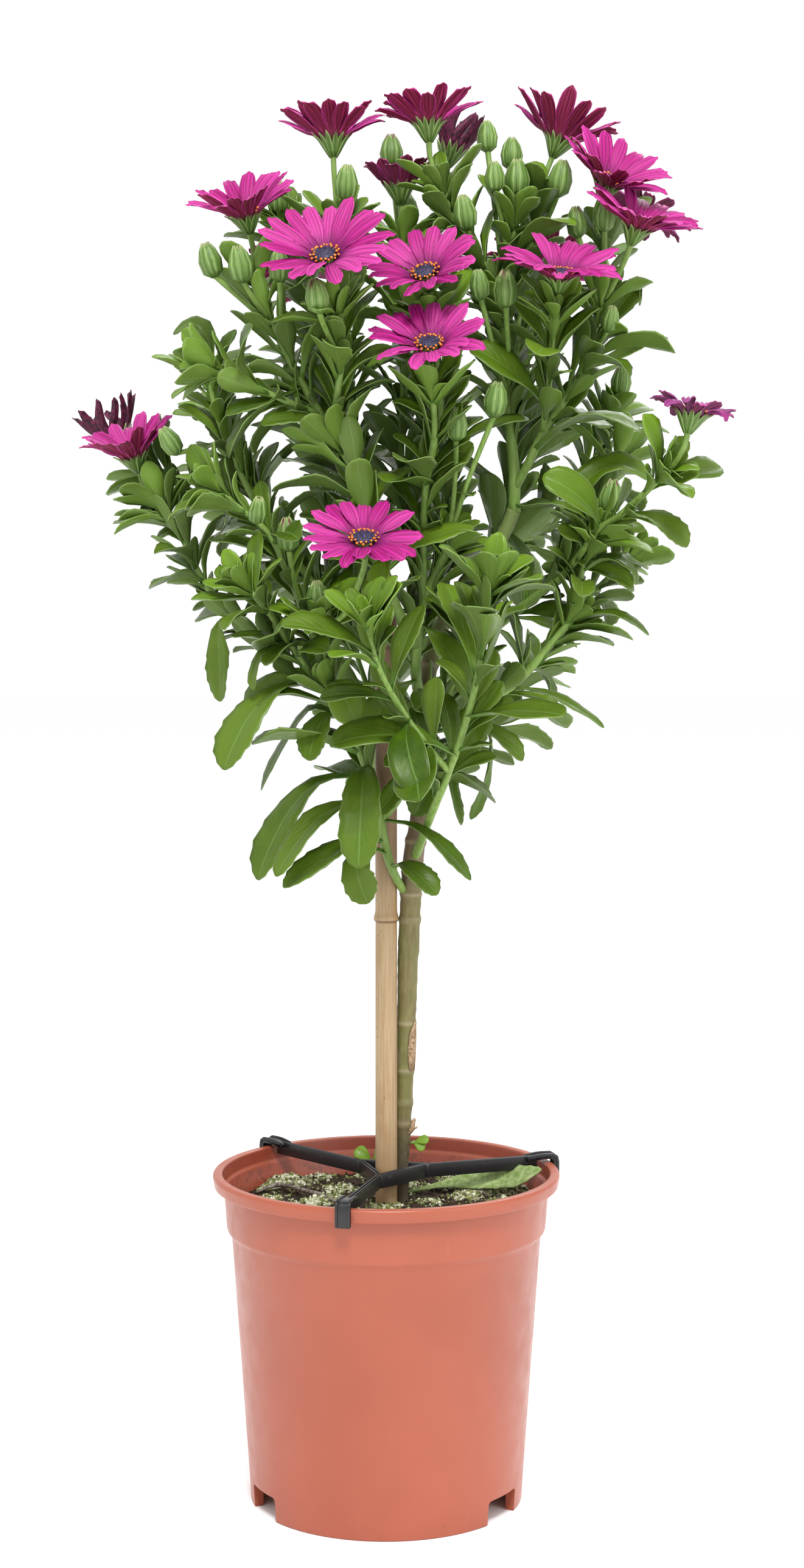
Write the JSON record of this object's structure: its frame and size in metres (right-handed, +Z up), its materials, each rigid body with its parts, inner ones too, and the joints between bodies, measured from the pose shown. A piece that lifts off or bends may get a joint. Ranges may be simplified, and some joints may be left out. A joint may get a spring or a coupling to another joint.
{
  "type": "potted flowering plant",
  "caption": "Bushy daisy-flowered osteospermum on a woody stem, tied to a cane, in a footed round nursery pot with a three-armed cane clip.",
  "frame": {"origin": "on the floor, on the axis of the pot", "axes": "+Z up along the pot's axis, -Y towards the front that the picture shows, +X to the right of that front"},
  "size_m": [0.351, 0.2608, 0.7723],
  "materials": {
    "pot": "moulded terracotta-coloured plastic with a soft sheen",
    "soil": "crumbly dark peat with moss and lichen",
    "cane": "dry bamboo",
    "clip": "black moulded plastic",
    "tie": "soft black tie",
    "bark": "green-brown bark with leaf scars",
    "twig": "weathered grey twig",
    "green": "leaves and soft stems, satin",
    "fallen_leaf": "pale green leaf, satin",
    "rays": "magenta petals, dark backs",
    "eye": "dark violet disc florets with orange anthers"
  },
  "bodies": {
    "root": {"pot": "pot", "soil": "soil", "cane": "cane", "clip": "clip", "tie": "tie", "twig": "twig", "fallen_leaf": "fallen_leaf", "trunk": "bark", "seedling": "green", "trunk_sprout": "green", "bloom_01_rays": "rays", "bloom_02_rays": "rays", "bloom_03_rays": "rays", "bloom_04_rays": "rays", "bloom_05_rays": "rays", "bloom_06_rays": "rays", "bloom_07_rays": "rays", "bloom_08_rays": "rays", "bloom_09_rays": "rays", "bloom_10_rays": "rays", "bloom_11_rays": "rays", "bloom_12_rays": "rays", "bloom_13_rays": "rays", "bloom_14_rays": "rays", "bloom_15_rays": "rays", "bloom_16_rays": "rays", "bloom_17_rays": "rays", "bloom_18_rays": "rays", "bloom_19_rays": "rays", "bloom_01_eye": "eye", "bloom_02_eye": "eye", "bloom_04_eye": "eye", "bloom_05_eye": "eye", "bloom_07_eye": "eye", "bloom_08_eye": "eye", "bloom_09_eye": "eye", "bloom_10_eye": "eye", "bloom_11_eye": "eye", "bloom_13_eye": "eye", "bloom_14_eye": "eye", "bloom_15_eye": "eye", "bloom_17_eye": "eye", "bloom_18_eye": "eye", "bloom_19_eye": "eye", "stem_low_left": "green", "stem_low_right": "green", "stem_right": "green", "stem_centre": "green", "stem_centre_left": "green", "stem_upper_left": "green", "stem_top": "green", "stem_right_top": "green", "stem_left": "green", "stem_back_left": "green", "stem_back_right": "green", "stem_back_low": "green", "stem_back_centre": "green", "stem_front": "green"}
  },
  "joints": []
}
